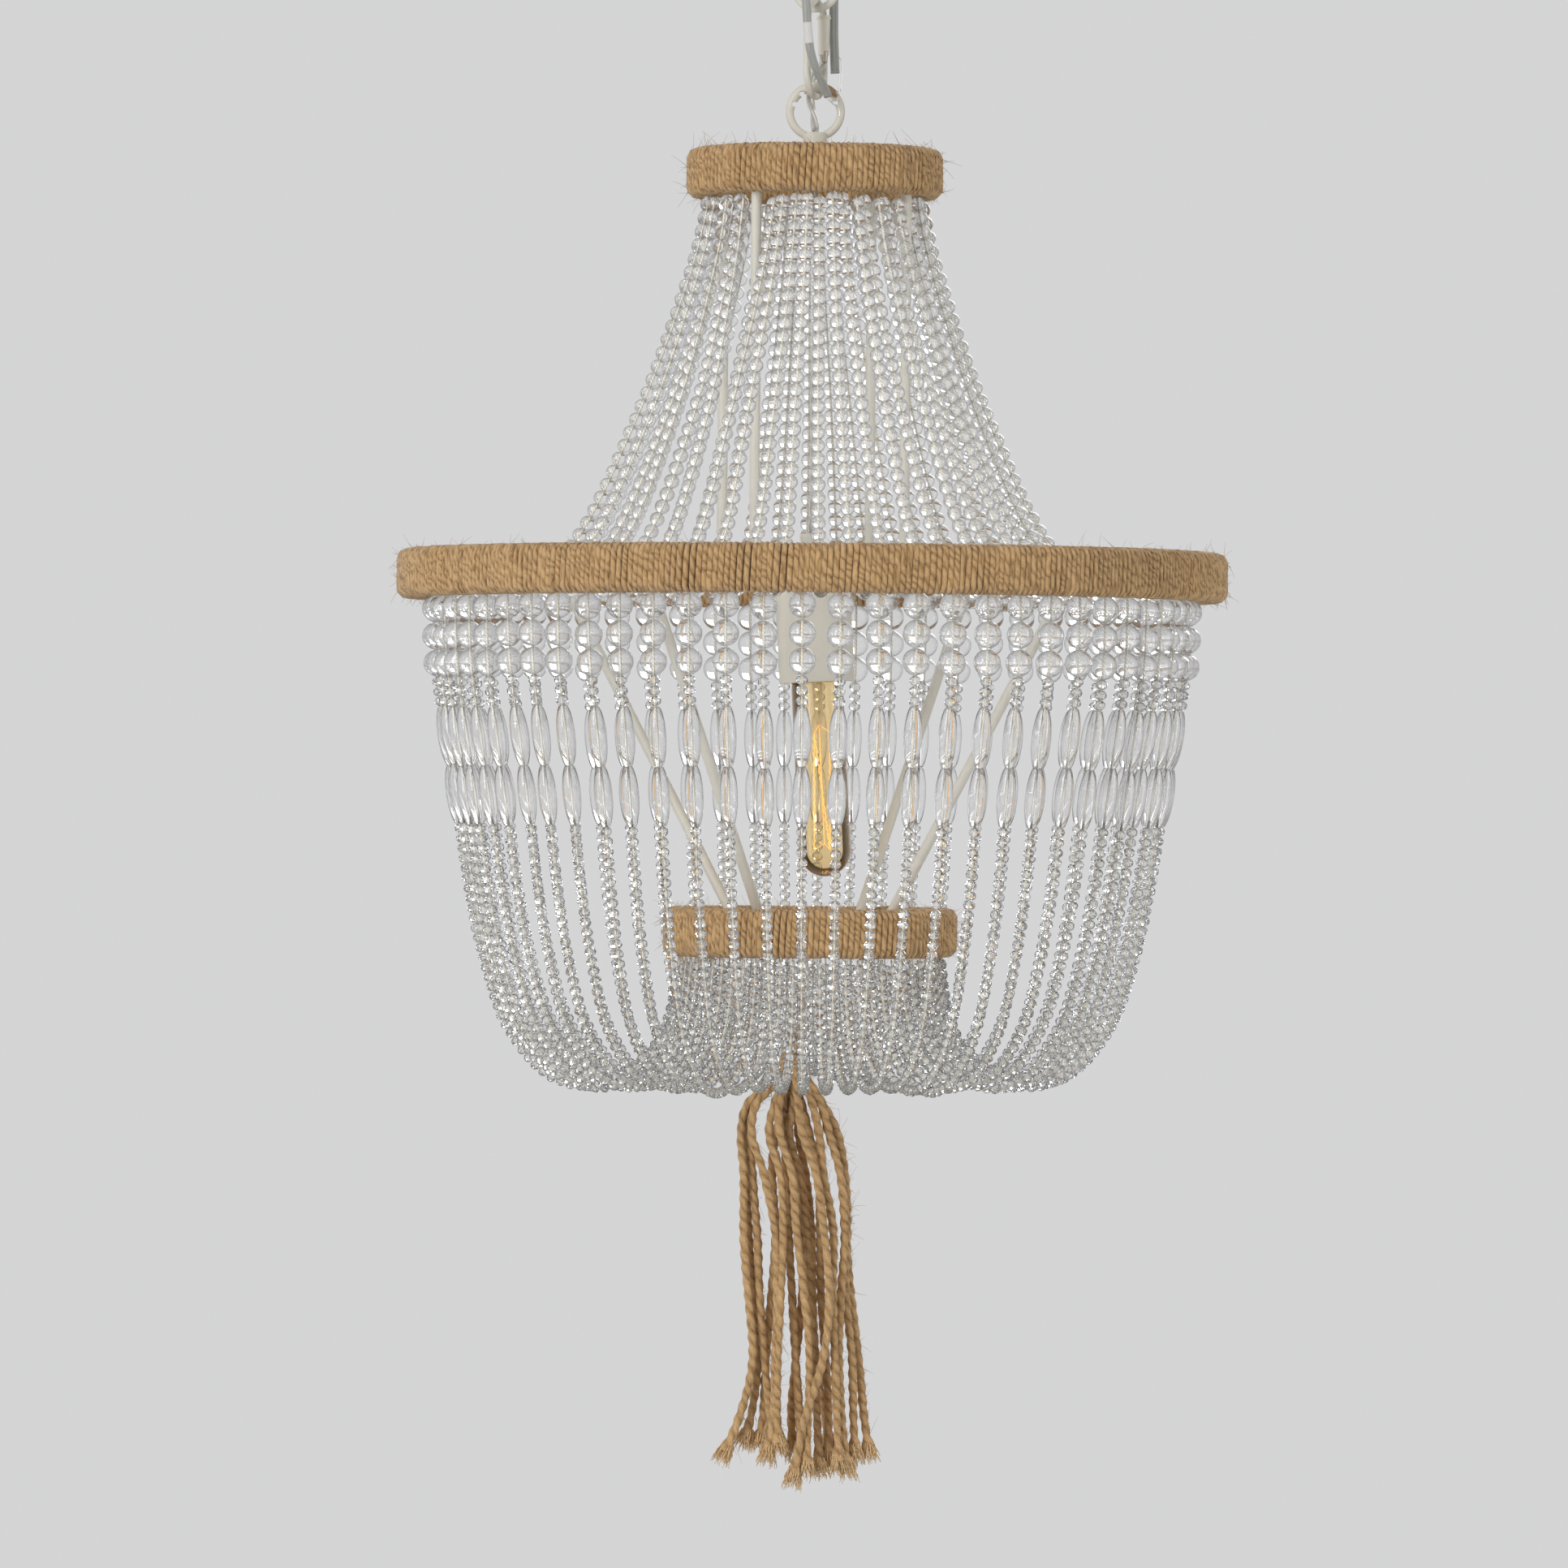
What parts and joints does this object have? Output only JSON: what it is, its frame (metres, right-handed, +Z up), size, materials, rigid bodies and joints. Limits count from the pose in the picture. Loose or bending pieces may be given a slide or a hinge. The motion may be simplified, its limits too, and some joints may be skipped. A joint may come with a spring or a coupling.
{
  "type": "beaded chandelier",
  "caption": "Beaded chandelier with twine-wrapped rings, strands of clear beads round a tubular amber lamp, a twine tassel and a short painted chain.",
  "frame": {"origin": "centre of the mounting strap's top face, on the ceiling", "axes": "+Z up, -Y towards the side seen in the picture, +X to the right in it"},
  "size_m": [0.5, 0.5, 1.0132],
  "materials": {
    "painted_iron": "satin off-white paint",
    "bare_steel": "zinc plated",
    "brass": "satin",
    "bent_wood": "raw bent wood, hidden by the twine",
    "jute_twine": "two-ply jute, matt and hairy",
    "clear_bead": "clear, polished",
    "amber_glass": "clear amber",
    "filament_wire": "thin carbon wire",
    "cream_plastic": "satin",
    "soft_rubber": "matt",
    "cord_skin": "clear insulation over silver wire"
  },
  "bodies": {
    "ceiling": {"mounting_strap": "bare_steel", "strap_screw_left": "bare_steel", "strap_screw_right": "bare_steel", "canopy": "painted_iron", "canopy_stem": "brass", "canopy_nut": "painted_iron", "canopy_loop": "painted_iron", "supply_cord_grommet": "soft_rubber", "second_cord_grommet": "soft_rubber", "supply_wire_cap": "cream_plastic", "second_wire_cap": "cream_plastic", "supply_cord_upper": "cord_skin", "second_cord_upper": "cord_skin"},
    "link_upper": {"chain_link_upper": "painted_iron"},
    "link_lower": {"chain_link_lower": "painted_iron", "supply_cord_lower": "cord_skin", "second_cord_lower": "cord_skin", "wire_connector": "cream_plastic", "lead_cord_upper": "cord_skin"},
    "fixture": {"fixture_loop": "painted_iron", "top_stem": "brass", "top_lock_nut": "brass", "lead_cord": "cord_skin", "finial": "painted_iron", "socket_coupling": "painted_iron", "socket_stem": "brass", "socket_cup": "cream_plastic", "lampholder": "cream_plastic", "top_spider": "painted_iron", "top_hoop": "bent_wood", "top_ring_wrap": "jute_twine", "middle_spider": "painted_iron", "middle_hoop": "bent_wood", "middle_ring_wrap": "jute_twine", "bottom_spider": "painted_iron", "bottom_hoop": "bent_wood", "bottom_ring_wrap": "jute_twine", "upper_rod_1": "painted_iron", "lower_rod_1": "painted_iron", "upper_curtain_1": "clear_bead", "lower_curtain_1": "clear_bead", "upper_rod_2": "painted_iron", "lower_rod_2": "painted_iron", "upper_curtain_2": "clear_bead", "lower_curtain_2": "clear_bead", "upper_rod_3": "painted_iron", "lower_rod_3": "painted_iron", "upper_curtain_3": "clear_bead", "lower_curtain_3": "clear_bead", "upper_rod_4": "painted_iron", "lower_rod_4": "painted_iron", "upper_curtain_4": "clear_bead", "lower_curtain_4": "clear_bead"},
    "bulb": {"bulb_cap": "brass", "bulb_glass": "amber_glass", "bulb_filament": "filament_wire"},
    "tassel": {"tassel_rope": "jute_twine", "tassel_knot": "jute_twine", "tassel_cords": "jute_twine"}
  },
  "joints": [
    {"name": "chain_swing_upper", "type": "hinge", "parent": "ceiling", "child": "link_upper", "pos_m": [0, 0, -0.06775], "axis": [0.3746, 0.9272, 0], "range_deg": [-20, 20], "deforming": ["supply_cord_upper", "second_cord_upper"]},
    {"name": "chain_swing_middle", "type": "hinge", "parent": "link_upper", "child": "link_lower", "pos_m": [0, 0, -0.1195], "axis": [0.9272, -0.3746, 0], "range_deg": [-20, 20], "deforming": ["supply_cord_lower", "second_cord_lower"]},
    {"name": "chain_swing_lower", "type": "hinge", "parent": "link_lower", "child": "fixture", "pos_m": [0, 0, -0.17215], "axis": [0.3746, 0.9272, 0], "range_deg": [-20, 20], "deforming": ["lead_cord_upper"]},
    {"name": "bulb_turn", "type": "hinge", "parent": "fixture", "child": "bulb", "pos_m": [0, 0, -0.46155], "axis": [-0.0523, 0, 0.9986], "continuous": true},
    {"name": "tassel_swing", "type": "hinge", "parent": "fixture", "child": "tassel", "pos_m": [-0.0033, 0, -0.71165], "axis": [1, 0, 0], "range_deg": [-25, 25]}
  ]
}
